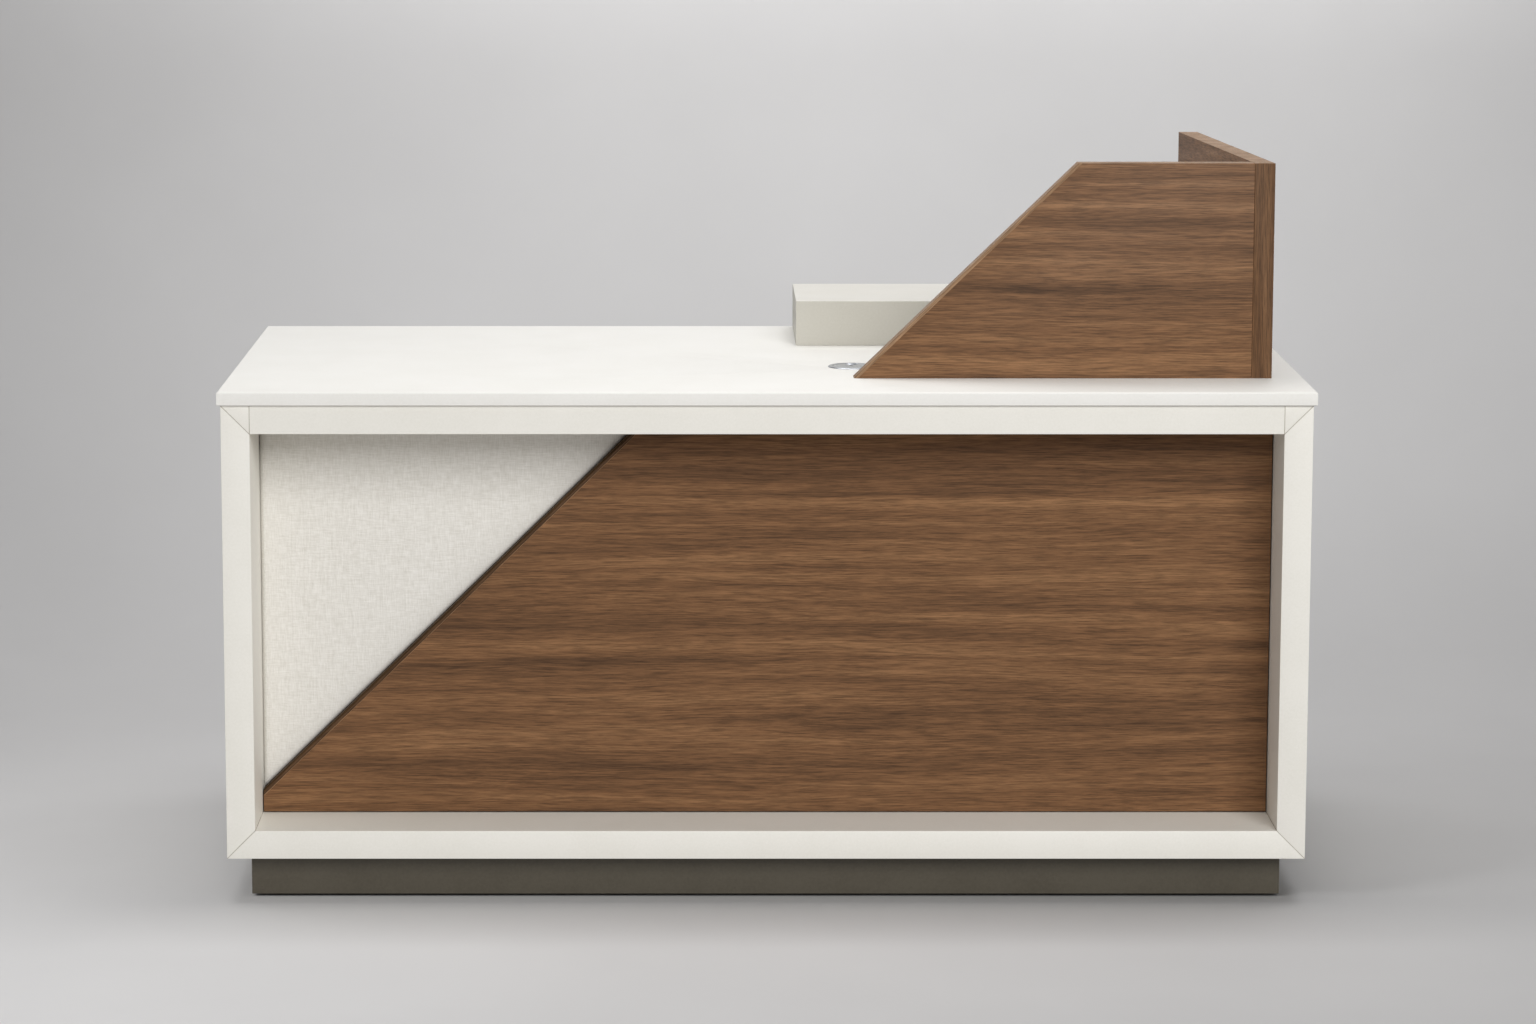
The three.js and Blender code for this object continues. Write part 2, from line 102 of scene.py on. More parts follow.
# %% [markdown]
# ## Small tools for every finish
# Colours are written as the sRGB hex values that one reads off a swatch, and Blender's shaders
# want linear light, so one function converts them. Another adds a node with its settings, values
# and links in a single call, which keeps the node trees readable as code. Patterns are sized in
# millimetres on the real surface, and a Mapping node's scale is the inverse of that.

# %% Colour and node helpers
def linear(hex_colour):
    """The linear RGBA of an sRGB hex value such as #7b5a40."""
    channels = [int(hex_colour[k:k + 2], 16) / 255 for k in (1, 3, 5)]
    light = [c / 12.92 if c <= 0.04045 else ((c + 0.055) / 1.055) ** 2.4 for c in channels]
    return (*light, 1.0)


def node(tree, kind, inputs=None, stops=None, **settings):
    """Adds a node. An input is a value, or the socket that it is linked from."""
    made = tree.nodes.new(kind)
    for name, value in settings.items():
        setattr(made, name, value)
    for socket, value in (inputs or {}).items():
        if isinstance(value, bpy.types.NodeSocket):
            tree.links.new(value, made.inputs[socket])
        else:
            made.inputs[socket].default_value = value
    for index, (place, colour) in enumerate(stops or []):
        ramp = made.color_ramp.elements
        stop = ramp[index] if index < 2 else ramp.new(place)
        stop.position, stop.color = place, colour
    return made


def start_material(name):
    """A new material with its tree, its shader and the piece's own coordinates."""
    material = bpy.data.materials.new(name)
    material.use_nodes = True
    tree = material.node_tree
    place = node(tree, "ShaderNodeTexCoord").outputs["Object"]
    return material, tree, tree.nodes["Principled BSDF"], place


def per_metre(*sizes_mm):
    """Mapping scales that make one pattern cell as long as each size in millimetres."""
    return tuple(1000 / size for size in sizes_mm)


print("helpers ready")

# %% [markdown]
# ## Pressed laminate
# The worktop, frame, riser and plinth are board faced with pressed melamine laminate. Its colour
# is nearly even. Up close the press plate leaves a fine pebble, and the sheet has a faint cloudy
# mottle, so highlights break up softly. An image of a sheet would repeat, so noises in real sizes
# draw it, and one function makes every colour, because the real sheets differ in little else.

# %% Laminates
PEBBLE_MM = 2.2       # a real press plate's pebble is about 0.3 mm, drawn coarser to show
PEBBLE_HEIGHT_MM = 0.05
CLOUD_MM = 90
SPECK_MM = 3.5
MOTTLE_FROM, MOTTLE_TO = 0.3, 0.6
LAMINATE_GLOSS_SWING = 0.05


def laminate(name, colour, deep_colour, roughness, pebble):
    """Melamine laminate: an even colour with faint clouds and specks, and a fine pebble."""
    material, tree, shader, place = start_material(name)
    cloud = node(tree, "ShaderNodeTexNoise", {"Vector": place, "Scale": 1000 / CLOUD_MM, "Detail": 3.0})
    speck = node(tree, "ShaderNodeTexNoise", {"Vector": place, "Scale": 1000 / SPECK_MM, "Detail": 2.0})
    both = node(tree, "ShaderNodeMath", {0: cloud.outputs["Fac"], 1: speck.outputs["Fac"]}, operation="ADD")
    mottle = node(tree, "ShaderNodeMath", {0: both.outputs[0], 1: 0.5}, operation="MULTIPLY")
    tone = node(
        tree,
        "ShaderNodeValToRGB",
        {"Fac": mottle.outputs[0]},
        stops=[(MOTTLE_FROM, linear(deep_colour)), (MOTTLE_TO, linear(colour))],
    )
    gloss = node(
        tree,
        "ShaderNodeMapRange",
        {
            "Value": speck.outputs["Fac"],
            "To Min": roughness - LAMINATE_GLOSS_SWING,
            "To Max": roughness + LAMINATE_GLOSS_SWING,
        },
    )
    grain = node(tree, "ShaderNodeTexNoise", {"Vector": place, "Scale": 1000 / PEBBLE_MM, "Detail": 1.0})
    bump = node(
        tree,
        "ShaderNodeBump",
        {"Height": grain.outputs["Fac"], "Strength": pebble, "Distance": PEBBLE_HEIGHT_MM * MM},
    )
    tree.links.new(tone.outputs["Color"], shader.inputs["Base Color"])
    tree.links.new(gloss.outputs["Result"], shader.inputs["Roughness"])
    tree.links.new(bump.outputs["Normal"], shader.inputs["Normal"])
    return material


# Matt white: bright and even, with only a broad soft sheen.
white_worktop = laminate("white_melamine_worktop", "#f0eee9", "#eceae4", roughness=0.5, pebble=0.25)
# Off-white: a little warmer than the worktop, so the frame reads as another board.
white_frame = laminate("off_white_melamine_frame", "#eeebe3", "#e9e6dd", roughness=0.45, pebble=0.35)
# Warm grey: the riser's front and ends, a step darker than the desk and than the riser's top.
# That step is painted shade, for the screen's shadow on them.
riser_sides_painted_shade = laminate("warm_grey_riser_painted_shade", "#c3c0b6", "#bdbaaf", roughness=0.45, pebble=0.35)
# Pale grey: the riser's shelf, between the two. It is the lit copy of the riser's laminate:
# painted light on the top.
riser_top_painted_light = laminate("pale_grey_riser_top_painted_light", "#dcd9d1", "#d6d3ca", roughness=0.45, pebble=0.35)
# Taupe: a dark band that makes the desk seem to float.
taupe_plinth = laminate("taupe_melamine_plinth", "#534d41", "#4b4539", roughness=0.42, pebble=0.45)
# Dried glue and the board's edge: a thin grey line in each joint, darkened further as painted
# shade for the groove.
glue_line_and_groove_shade = laminate("glue_line_and_painted_groove_shade", "#c2bdb0", "#b9b4a7", roughness=0.6, pebble=0.1)
print("laminates:", [m.name for m in (white_worktop, white_frame, riser_sides_painted_shade, riser_top_painted_light, taupe_plinth)])

# %% [markdown]
# ## The way the grain runs
# The front and the screen are faced with quarter-cut walnut veneer under satin lacquer. Boards
# are cut along the grain, so each has a direction of its own. A Mapping node turns the piece's
# coordinates until the grain lies along X, and a slow noise pushes them sideways by a few
# millimetres, because a tree never grows quite straight.

# %% Walnut grain
WANDER_LONG_MM = 520
WANDER_WIDE_MM = 110
WANDER_MM = 9


def grain_place(tree, place, turn_degrees):
    """Coordinates with the grain along X, bent a little sideways."""
    turned = node(
        tree,
        "ShaderNodeMapping",
        {"Vector": place, "Rotation": tuple(math.radians(angle) for angle in turn_degrees)},
    )
    slow = node(
        tree,
        "ShaderNodeMapping",
        {
            "Vector": turned.outputs["Vector"],
            "Scale": per_metre(WANDER_LONG_MM, WANDER_WIDE_MM, WANDER_WIDE_MM),
        },
    )
    wander = node(
        tree,
        "ShaderNodeTexNoise",
        {"Vector": slow.outputs["Vector"], "Scale": 1.0, "Detail": 2.0},
    )
    off_middle = node(
        tree,
        "ShaderNodeVectorMath",
        {0: wander.outputs["Color"], 1: (0.5, 0.5, 0.5)},
        operation="SUBTRACT",
    )
    sideways = node(
        tree,
        "ShaderNodeVectorMath",
        {0: off_middle.outputs["Vector"], 1: (0, 2 * WANDER_MM * MM, 2 * WANDER_MM * MM)},
        operation="MULTIPLY",
    )
    bent = node(
        tree,
        "ShaderNodeVectorMath",
        {0: turned.outputs["Vector"], 1: sideways.outputs["Vector"]},
        operation="ADD",
    )
    return bent.outputs["Vector"]


print("grain wanders", WANDER_MM, "mm to each side")

# %% [markdown]
# ## Walnut veneer
# Quarter-cut walnut shows long streaks of every width, with short dark pores. A wave texture
# would give even stripes. A fractal noise stretched along the grain gives all the widths at once,
# and a second, shorter one draws the pores, which darken the wood and dent the lacquer a little.

# %% Walnut
FIGURE_LONG_MM = 900
FIGURE_WIDE_MM = 27
FIGURE_DARK, FIGURE_MIDDLE, FIGURE_LIGHT = 0.29, 0.5, 0.71
PORE_LONG_MM = 44
PORE_WIDE_MM = 1.9    # real pores are about 0.3 mm wide, drawn coarser to show
PORE_FROM, PORE_TO = 0.32, 0.62
PORE_SHADE, FIBRE_SHADE = 0.5, 1.16
PORE_HEIGHT_MM = 0.08
PORE_RELIEF = 0.3
ROUGH_DARK, ROUGH_LIGHT = 0.56, 0.44
LACQUER_SHEEN = 0.2


def walnut(name, turn_degrees, dark, middle, light, sheen=LACQUER_SHEEN):
    """Lacquered walnut, with its grain along X once the coordinates are turned."""
    material, tree, shader, place = start_material(name)
    bent = grain_place(tree, place, turn_degrees)
    figure_place = node(
        tree,
        "ShaderNodeMapping",
        {"Vector": bent, "Scale": per_metre(FIGURE_LONG_MM, FIGURE_WIDE_MM, FIGURE_WIDE_MM)},
    )
    figure = node(
        tree,
        "ShaderNodeTexNoise",
        {"Vector": figure_place.outputs["Vector"], "Scale": 1.0, "Detail": 6.0, "Roughness": 0.7},
    )
    colour = node(
        tree,
        "ShaderNodeValToRGB",
        {"Fac": figure.outputs["Fac"]},
        stops=[(FIGURE_DARK, linear(dark)), (FIGURE_LIGHT, linear(light)), (FIGURE_MIDDLE, linear(middle))],
    )
    pore_place = node(
        tree,
        "ShaderNodeMapping",
        {"Vector": bent, "Scale": per_metre(PORE_LONG_MM, PORE_WIDE_MM, PORE_WIDE_MM)},
    )
    pore = node(
        tree,
        "ShaderNodeTexNoise",
        {"Vector": pore_place.outputs["Vector"], "Scale": 1.0, "Detail": 3.0, "Roughness": 0.7},
    )
    shade = node(
        tree,
        "ShaderNodeMapRange",
        {
            "Value": pore.outputs["Fac"],
            "From Min": PORE_FROM,
            "From Max": PORE_TO,
            "To Min": PORE_SHADE,
            "To Max": FIBRE_SHADE,
        },
    )
    shaded = node(
        tree,
        "ShaderNodeVectorMath",
        {0: colour.outputs["Color"], "Scale": shade.outputs["Result"]},
        operation="SCALE",
    )
    satin = node(
        tree,
        "ShaderNodeMapRange",
        {
            "Value": figure.outputs["Fac"],
            "From Min": 0.3,
            "From Max": 0.7,
            "To Min": ROUGH_DARK,
            "To Max": ROUGH_LIGHT,
        },
    )
    relief = node(
        tree,
        "ShaderNodeBump",
        {"Height": shade.outputs["Result"], "Strength": PORE_RELIEF, "Distance": PORE_HEIGHT_MM * MM},
    )
    shader.inputs["Specular IOR Level"].default_value = sheen
    tree.links.new(shaded.outputs["Vector"], shader.inputs["Base Color"])
    tree.links.new(satin.outputs["Result"], shader.inputs["Roughness"])
    tree.links.new(relief.outputs["Normal"], shader.inputs["Normal"])
    return material


print("walnut figure", FIGURE_LONG_MM, "by", FIGURE_WIDE_MM, "mm")

# %% [markdown]
# ## Cuts of walnut
# The same wood is turned and toned for each place. Veneer on the fronts runs across the desk, on
# the return it runs to the back, and the return's front edge is an upright strip. Lippings are
# thin solid strips glued to the edges: pale ones on the screen, and one that is stained dark
# along the front's diagonal. The pale tone is also painted light on tops and arrises that look up.
# The dark one is split by facing: its side faces take a darker copy, painted shade for the
# recess, and its front face a lighter copy.

# %% Walnut cuts
ALONG_X = (0, 0, 0)
ALONG_Y = (0, 0, 90)
ALONG_Z = (0, 90, 0)
ALONG_DIAGONAL = (0, 44, 0)
WALNUT_TONES = ("#533a26", "#7a573a", "#97704d")
STAIN_SHEEN = 0.05
FRONT_FACE_SHEEN = 0.1

# Mid-brown satin wood with long quiet streaks.
walnut_along = walnut("walnut_veneer_along", ALONG_X, *WALNUT_TONES)
walnut_deep = walnut("walnut_veneer_front_to_back", ALONG_Y, *WALNUT_TONES)
# A darker upright strip that marks the corner.
walnut_upright = walnut("walnut_veneer_upright", ALONG_Z, "#473122", "#684a31", "#815f41")
# A pale line along the edges, where solid wood shows. The same pale tone is painted light on the
# tops and diagonal arrises that look up.
pale_lipping_and_painted_light = walnut("solid_walnut_lipping_and_painted_light", ALONG_DIAGONAL, "#7d5e45", "#98785a", "#ab8a6c")
# A nearly black-brown stained line that parts wood from cloth. Its side faces get a darker copy,
# painted shade for the recess, and its front face a lighter one.
lipping_side_painted_shade = walnut(
    "dark_stained_lipping_side_painted_shade", ALONG_DIAGONAL, "#3c2c1c", "#4c3824", "#5c4630", sheen=STAIN_SHEEN
)
lipping_front_face = walnut(
    "dark_stained_lipping_front_face", ALONG_DIAGONAL, "#493523", "#5a4330", "#6b523b", sheen=FRONT_FACE_SHEEN
)
walnut_cuts = (walnut_along, walnut_deep, walnut_upright, pale_lipping_and_painted_light, lipping_side_painted_shade, lipping_front_face)
print("walnut:", len(walnut_cuts), "cuts")

# %% [markdown]
# ## Woven cloth
# The triangle in the front is covered in a linen-look plain weave. The yarns are uneven, so the
# cloth shows faint threads both ways rather than a clean grid. Two noises, each stretched along
# one set of yarns, give those slubs, and two waves give the over-and-under relief.

# %% Linen
YARN_MM = 1.5         # real yarns are about 0.6 mm apart, drawn coarser to show
SLUB_LONG_MM = 13
SLUB_DEEP, SLUB_LIGHT = 0.3, 0.68
WEAVE_MM = 6          # the real relief repeats every 1.2 mm, drawn coarser to show
WAVE_RADIANS = 20     # the wave texture turns by this much in one unit
WEAVE_HEIGHT_MM = 0.25
WEAVE_RELIEF = 0.4


def linen_cloth(name, colour, deep_colour):
    """Plain-weave linen: slubby yarns both ways, a soft sheen and a woven relief."""
    material, tree, shader, place = start_material(name)
    slubs = []
    for sizes in ((SLUB_LONG_MM, YARN_MM, YARN_MM), (YARN_MM, YARN_MM, SLUB_LONG_MM)):
        yarn = node(tree, "ShaderNodeMapping", {"Vector": place, "Scale": per_metre(*sizes)})
        slub = node(
            tree,
            "ShaderNodeTexNoise",
            {"Vector": yarn.outputs["Vector"], "Scale": 1.0, "Detail": 2.0},
        )
        slubs.append(slub.outputs["Fac"])
    crossed = node(tree, "ShaderNodeMath", {0: slubs[0], 1: slubs[1]}, operation="ADD")
    threads = node(tree, "ShaderNodeMath", {0: crossed.outputs[0], 1: 0.5}, operation="MULTIPLY")
    tone = node(
        tree,
        "ShaderNodeValToRGB",
        {"Fac": threads.outputs[0]},
        stops=[(SLUB_DEEP, linear(deep_colour)), (SLUB_LIGHT, linear(colour))],
    )
    waves = []
    for direction in ("X", "Z"):
        wave = node(
            tree,
            "ShaderNodeTexWave",
            {
                "Vector": place,
                "Scale": 2 * math.pi / WAVE_RADIANS * 1000 / WEAVE_MM,
                "Distortion": 1.2,
                "Detail": 1.0,
            },
            bands_direction=direction,
        )
        waves.append(wave.outputs["Fac"])
    weave = node(tree, "ShaderNodeMath", {0: waves[0], 1: waves[1]}, operation="MULTIPLY")
    relief = node(tree, "ShaderNodeMath", {0: weave.outputs[0], 1: threads.outputs[0]}, operation="ADD")
    bump = node(
        tree,
        "ShaderNodeBump",
        {"Height": relief.outputs[0], "Strength": WEAVE_RELIEF, "Distance": WEAVE_HEIGHT_MM * MM},
    )
    tree.links.new(tone.outputs["Color"], shader.inputs["Base Color"])
    tree.links.new(bump.outputs["Normal"], shader.inputs["Normal"])
    shader.inputs["Roughness"].default_value = 0.92
    shader.inputs["Sheen Weight"].default_value = 0.15
    shader.inputs["Sheen Roughness"].default_value = 0.5
    return material


# Undyed linen: pale and dull, with threads that show only up close.
linen = linen_cloth("linen_plain_weave", "#eeebe5", "#d8d4cb")
print("cloth:", linen.name)

# %% [markdown]
# ## Metal, plastic and bare board
# The fittings are black powder-coated steel, a satin metal grommet and moulded dark plastic. The
# foot blocks, hidden in the plinth, are bare particle board. Powder coat dries with a fine orange
# peel, satin metal is blasted and brushed, moulded plastic has a spark-eroded grain, and particle
# board shows its chips. Each is a noise of its own size, so one function takes that size.

# %% Fittings' finishes
PEEL_MM = 1.6
BRUSH_MM = 0.9
SPARK_MM = 0.7
CHIP_MM = 5
GRAIN_DEEP, GRAIN_LIGHT = 0.35, 0.65
GRAIN_HEIGHT_MM = 0.06
FITTING_GLOSS_SWING = 0.08


def fitting_finish(name, colour, deep_colour, grain_mm, roughness, metallic, relief):
    """A hard finish whose grain varies its colour, gloss and relief together."""
    material, tree, shader, place = start_material(name)
    grain = node(tree, "ShaderNodeTexNoise", {"Vector": place, "Scale": 1000 / grain_mm, "Detail": 2.0})
    tone = node(
        tree,
        "ShaderNodeValToRGB",
        {"Fac": grain.outputs["Fac"]},
        stops=[(GRAIN_DEEP, linear(deep_colour)), (GRAIN_LIGHT, linear(colour))],
    )
    gloss = node(
        tree,
        "ShaderNodeMapRange",
        {
            "Value": grain.outputs["Fac"],
            "To Min": roughness + FITTING_GLOSS_SWING,
            "To Max": roughness - FITTING_GLOSS_SWING,
        },
    )
    bump = node(
        tree,
        "ShaderNodeBump",
        {"Height": grain.outputs["Fac"], "Strength": relief, "Distance": GRAIN_HEIGHT_MM * MM},
    )
    tree.links.new(tone.outputs["Color"], shader.inputs["Base Color"])
    tree.links.new(gloss.outputs["Result"], shader.inputs["Roughness"])
    tree.links.new(bump.outputs["Normal"], shader.inputs["Normal"])
    shader.inputs["Metallic"].default_value = metallic
    return material


# Powder coat: black with a soft, slightly lumpy shine.
black_steel = fitting_finish(
    "black_powder_coat", "#2c2d2f", "#232426", PEEL_MM, roughness=0.5, metallic=0.0, relief=0.4
)
# Satin metal: a blurred silver mirror of the studio.
satin_metal = fitting_finish(
    "satin_brushed_metal", "#c3c6ca", "#a9adb2", BRUSH_MM, roughness=0.32, metallic=1.0, relief=0.12
)
# Moulded plastic: dull black, a little greyer where light grazes it.
dark_plastic = fitting_finish(
    "moulded_dark_plastic", "#26272a", "#1e1f22", SPARK_MM, roughness=0.55, metallic=0.0, relief=0.3
)
# Particle board: straw-coloured chips, quite dull.
raw_board = fitting_finish(
    "bare_particle_board", "#c2a67e", "#937650", CHIP_MM, roughness=0.85, metallic=0.0, relief=0.9
)
# Zinc plate: small bright heads.
zinc_screw = fitting_finish(
    "zinc_plated_screw", "#c9cbc8", "#b3b5b2", BRUSH_MM, roughness=0.3, metallic=1.0, relief=0.1
)
print("fittings:", [m.name for m in (black_steel, satin_metal, dark_plastic, raw_board, zinc_screw)])

# %% [markdown]
# ## Easing a board
# A board straight from CAD has knife edges, which no real board has. A copy of each solid is
# merged, because it comes as loose triangles, its flat faces are joined up again, and a Bevel
# modifier eases every edge. The small arris catches a line of light. The modifier's result is
# made a plain mesh.

# %% Easing helpers
SEAM_MERGE = 0.01 * MM
FLAT_WITHIN = math.radians(0.5)
SHARP_FROM = math.radians(25)
SMOOTH_BELOW = math.radians(18)
ARRIS_SEGMENTS = 3


def place_piece(piece, body, slot, *stands_for):
    """Hands a finished piece to the frame: its body and what it stands for. The slot is not used."""
    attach(piece, body)
    if stands_for:
        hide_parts(*stands_for)


def new_piece(name, mesh, *materials):
    """An object at the origin, with its place in its mesh."""
    piece = bpy.data.objects.new(name, mesh)
    bpy.context.collection.objects.link(piece)
    mesh.materials.clear()
    for material in materials:
        mesh.materials.append(material)
    return piece


def bake_modifiers(piece):
    """The piece as its modifiers leave it, as one plain mesh."""
    evaluated = piece.evaluated_get(bpy.context.evaluated_depsgraph_get())
    mesh = bpy.data.meshes.new_from_object(evaluated)
    piece.modifiers.clear()
    piece.data = mesh


def eased_copy(node_name, arris_mm, *materials):
    """A copy of a CAD solid with every edge rounded over by the arris."""
    mesh = nodes[node_name].data.copy()
    work = bmesh.new()
    work.from_mesh(mesh)
    bmesh.ops.remove_doubles(work, verts=work.verts, dist=SEAM_MERGE)
    bmesh.ops.dissolve_limit(work, angle_limit=FLAT_WITHIN, verts=work.verts, edges=work.edges)
    for face in work.faces:
        face.smooth = True
        face.material_index = 0
    work.to_mesh(mesh)
    work.free()
    piece = new_piece(f"{node_name}_eased", mesh, *materials)
    bevel = piece.modifiers.new("arris", "BEVEL")
    bevel.width = arris_mm * MM
    bevel.segments = ARRIS_SEGMENTS
    bevel.limit_method = "ANGLE"
    bevel.angle_limit = SHARP_FROM
    bake_modifiers(piece)
    piece.data.set_sharp_from_angle(angle=SMOOTH_BELOW)
    return piece


def dress_boards(slot, arris_mm, material):
    """Every node of one finish, eased and given its material."""
    names = [name for name, its_slot in slot_of.items() if its_slot == slot]
    for name in names:
        place_piece(eased_copy(name, arris_mm, material), body_of[name], slot, name)
    print(slot, "pieces:", len(names))


print("easing ready, with", ARRIS_SEGMENTS, "segments to an arris")

# %% [markdown]
# ## The boards
# Each finish in the record is dressed in one go, with the arris that a joiner would give it. The
# riser's shelf is the same board as its front, and only swaps its material for a paler copy of the
# laminate: painted light on the top, against the painted shade of the front and ends.

# %% Boards
WORKTOP_ARRIS_MM = 0.5
BOARD_ARRIS_MM = 0.6
HIDDEN_ARRIS_MM = 0.4
LIPPING_ARRIS_MM = 0.4

dress_boards("worktop_white", WORKTOP_ARRIS_MM, white_worktop)
dress_boards("frame_white", BOARD_ARRIS_MM, white_frame)
dress_boards("riser_grey", BOARD_ARRIS_MM, riser_sides_painted_shade)
dress_boards("plinth_taupe", BOARD_ARRIS_MM, taupe_plinth)
dress_boards("raw_board", HIDDEN_ARRIS_MM, raw_board)
# The screen's lippings take the pale tone: solid walnut, and painted light where they look up.
dress_boards("lipping_pale", LIPPING_ARRIS_MM, pale_lipping_and_painted_light)
# The riser's top takes the paler copy: painted light, against the painted shade on its front and ends.
bpy.data.objects["riser_top_eased"].data.materials[0] = riser_top_painted_light

# %% [markdown]
# ## Lines in the frame's joints
# The frame's boards meet on mitres, with an upright seam beside each top corner. A glued joint
# shows as a thin grey line. The two arrises already make a fine groove there, so its narrow faces
# only take the glue line's colour: those that lie on a mitre or on a seam, and no wide face. That
# colour is also painted shade, for the groove's shadow.

# %% Joint lines
JOINTED_BOARDS = (
    "left_end_panel",
    "right_end_panel",
    "left_mitre_block",
    "right_mitre_block",
    "bottom_panel",
    "top_rail",
)
JOINT_REACH = 0.9 * MM
NARROW_FACE_AREA = 1e-3
end_low, end_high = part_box("left_end_panel")
frame_half_width = -end_low.x
frame_board = end_high.x - end_low.x


def lies_on_joint(centre):
    """Whether a face's centre lies on a mitre, or on the upright seam beside a top corner."""
    inward = frame_half_width - abs(centre.x)
    below = end_high.z - centre.z
    above = centre.z - end_low.z
    on_mitre = min(abs(inward - below), abs(inward - above)) < JOINT_REACH
    on_seam = abs(inward - frame_board) < JOINT_REACH and below < frame_board
    return on_mitre or on_seam


joint_faces = 0
for name in JOINTED_BOARDS:
    board_mesh = bpy.data.objects[f"{name}_eased"].data
    board_mesh.materials.append(glue_line_and_groove_shade)
    for face in board_mesh.polygons:
        if face.area < NARROW_FACE_AREA and lies_on_joint(face.center):
            face.material_index = 1
            joint_faces += 1
print("joint lines:", joint_faces, "narrow faces")

# %% [markdown]
# ## The walnut panels
# A veneered board has its grain along its length, and its narrow edges are lipped with strips cut
# the other way. So each face of a panel takes the cut of walnut that its direction asks for: the
# return's front edge is an upright strip, and top edges are paler strips of solid walnut, whose
# paler tone is also painted light on faces that look up. The arris along each diagonal looks up
# and to the left, so it takes the same pale tone as a painted highlight.

# %% Walnut panels
FRONT_ARRIS_MM = 0.9
SCREEN_ARRIS_MM = 0.5
FACES_ALONG = 0.9     # a face points along an axis when that part of its normal is above this
TURNS_TOWARDS = 0.2   # an arris turns towards an axis when that part of its normal is above this


def cut_faces(piece, choose):
    """Gives each face the material whose index choose(normal) returns."""
    for face in piece.data.polygons:
        face.material_index = choose(face.normal)


def return_cut(normal):
    """Pale solid wood, partly painted light, on the return's top edge, an upright strip on its front and
    rear edges.
    """
    if normal.z > FACES_ALONG:
        return 2
    return 1 if abs(normal.y) > FACES_ALONG else 0


def on_diagonal_arris(normal):
    """The arris between a panel's front and its diagonal edge, which faces up and to the left."""
    return min(-normal.x, -normal.y, normal.z) > TURNS_TOWARDS


front_panel = eased_copy("walnut_front_panel", FRONT_ARRIS_MM, walnut_along, pale_lipping_and_painted_light)
# The diagonal arris takes the pale tone: a painted highlight.
cut_faces(front_panel, lambda normal: 1 if on_diagonal_arris(normal) else 0)
place_piece(front_panel, "carcass", "walnut", "walnut_front_panel")

screen_panel = eased_copy("screen_front_panel", SCREEN_ARRIS_MM, walnut_along, pale_lipping_and_painted_light)
# The screen's top face and diagonal arris take the pale tone: painted light on faces that look up.
cut_faces(screen_panel, lambda normal: 1 if normal.z > FACES_ALONG or on_diagonal_arris(normal) else 0)
place_piece(screen_panel, "carcass", "walnut", "screen_front_panel")

front_lipping = eased_copy("front_diagonal_lipping", LIPPING_ARRIS_MM, lipping_side_painted_shade, lipping_front_face)
# Side faces keep the darker copy, painted shade; the front face takes the lighter copy.
cut_faces(front_lipping, lambda normal: 1 if normal.y < -FACES_ALONG else 0)
place_piece(front_lipping, "carcass", "lipping_dark", "front_diagonal_lipping")

screen_return = eased_copy("screen_return", SCREEN_ARRIS_MM, walnut_deep, walnut_upright, pale_lipping_and_painted_light)
cut_faces(screen_return, return_cut)
place_piece(screen_return, "carcass", "walnut", "screen_return")
print("walnut panels:", front_panel.name, screen_panel.name, front_lipping.name, screen_return.name)

# %% [markdown]
# ## How tight cloth lies
# Upholsterers stretch the cloth over a board with a thin layer of foam and staple it behind, so
# its face is slightly crowned and its edges roll over softly. A simulation would hardly move so
# tight a cover, so each point of the face is set back by a rule of its distance from the nearest
# edge: a quarter round at the rim, and a slow swell towards the middle.

# %% Cloth rule
ROLL_MM = 6
ROLL_DEPTH_MM = 3.2
CROWN_MM = 1.2
CROWN_REACH_MM = 120


def triangle_corners(node_name):
    """The three corners of a CAD triangle, seen from the visitors' side, and its front and back."""
    low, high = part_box(node_name)
    corners = []
    for vertex in nodes[node_name].data.vertices:
        corner = Vector((vertex.co.x, vertex.co.z))
        if all((corner - known).length > MM for known in corners):
            corners.append(corner)
    return corners, low.y, high.y


def distance_to_side(point, start, end):
    """How far a point lies from the line through two corners."""
    along = (end - start).normalized()
    offset = point - start
    return abs(along.x * offset.y - along.y * offset.x)


def set_back(distance):
    """How far the cloth is set back at this distance from the nearest edge."""
    edge = max(0.0, 1 - distance / (ROLL_MM * MM))
    swell = max(0.0, 1 - distance / (CROWN_REACH_MM * MM))
    return (ROLL_DEPTH_MM * (1 - math.sqrt(1 - edge * edge)) + CROWN_MM * swell * swell) * MM


corners, cloth_front, cloth_back = triangle_corners("fabric_panel")
print("cloth: set back", round(set_back(0) / MM, 1), "mm at its rim")

# %% [markdown]
# ## The cloth-covered triangle
# The face is laid out as a fine triangular grid between the three corners, so its rows follow the
# sides. Its rim is then drawn straight back to the board's back and closed there.

# %% Cloth panel
CLOTH_STEPS = 90

work = bmesh.new()
rows = []
for i in range(CLOTH_STEPS + 1):
    row = []
    for j in range(CLOTH_STEPS + 1 - i):
        a, b = i / CLOTH_STEPS, j / CLOTH_STEPS
        point = corners[0] * (1 - a - b) + corners[1] * a + corners[2] * b
        near = min(distance_to_side(point, corners[k], corners[(k + 1) % 3]) for k in range(3))
        row.append(work.verts.new((point.x, cloth_front + set_back(near), point.y)))
    rows.append(row)
for i in range(CLOTH_STEPS):
    for j in range(CLOTH_STEPS - i):
        work.faces.new((rows[i][j], rows[i + 1][j], rows[i][j + 1]))
        if j + 1 < CLOTH_STEPS - i:
            work.faces.new((rows[i + 1][j], rows[i + 1][j + 1], rows[i][j + 1]))
rim = [edge for edge in work.edges if edge.is_boundary]
wall = bmesh.ops.extrude_edge_only(work, edges=rim)["geom"]
for vertex in [item for item in wall if isinstance(item, bmesh.types.BMVert)]:
    vertex.co.y = cloth_back
